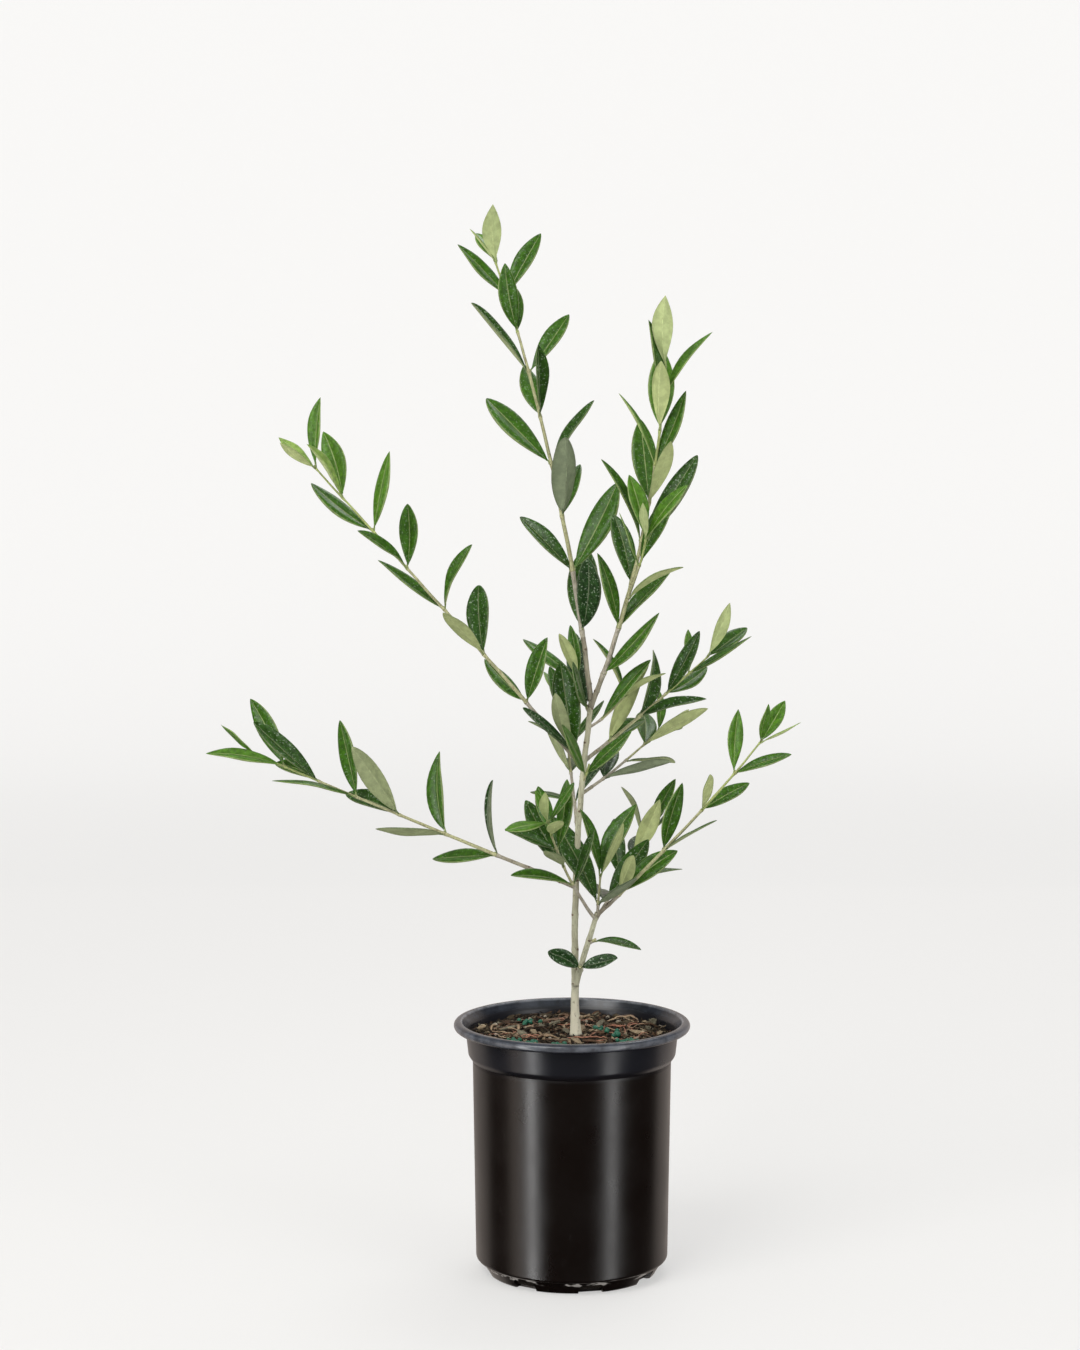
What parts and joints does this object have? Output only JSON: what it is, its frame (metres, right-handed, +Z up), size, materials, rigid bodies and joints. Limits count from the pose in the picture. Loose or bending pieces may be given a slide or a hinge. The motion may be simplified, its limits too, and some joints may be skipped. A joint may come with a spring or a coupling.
{
  "type": "potted olive tree",
  "caption": "Young olive tree of slender, leafy shoots on a thin forked trunk, rooted in bark mix in a round black nursery pot with a rolled rim.",
  "frame": {"origin": "centre of the pot's flat underside, on the surface that the pot stands on", "axes": "+Z is up, +X is to the right and -Y faces the viewer"},
  "size_m": [0.4112, 0.2203, 0.7424],
  "materials": {
    "pot": "satin black moulded plastic, a little dusty at the rim",
    "mix": "loose composted bark and peat with fertiliser prills and fine roots",
    "bark": "thin grey-green to buff bark with small knots at the old leaf joints",
    "leaf": "leathery olive leaves, dark green above and pale grey-green below"
  },
  "bodies": {
    "root": {"pot": "pot", "growing_mix": "mix", "trunk": "bark", "second_stem": "bark", "left_leader_bough": "bark", "left_leader_foliage": "leaf", "right_leader_bough": "bark", "right_leader_foliage": "leaf", "low_left_bough": "bark", "low_left_foliage": "leaf", "upper_left_bough": "bark", "upper_left_foliage": "leaf", "low_right_bough": "bark", "low_right_foliage": "leaf", "front_left_foliage": "leaf", "short_right_bough": "bark", "short_right_foliage": "leaf", "back_low_bough": "bark", "back_low_foliage": "leaf", "back_mid_bough": "bark", "back_mid_foliage": "leaf", "back_left_bough": "bark", "back_left_foliage": "leaf", "fork_left_foliage": "leaf", "fork_right_foliage": "leaf", "mid_left_foliage": "leaf", "mid_right_foliage": "leaf", "front_right_foliage": "leaf", "stem_tip_foliage": "leaf", "foot_pair_foliage": "leaf", "foot_right_foliage": "leaf"}
  },
  "joints": []
}
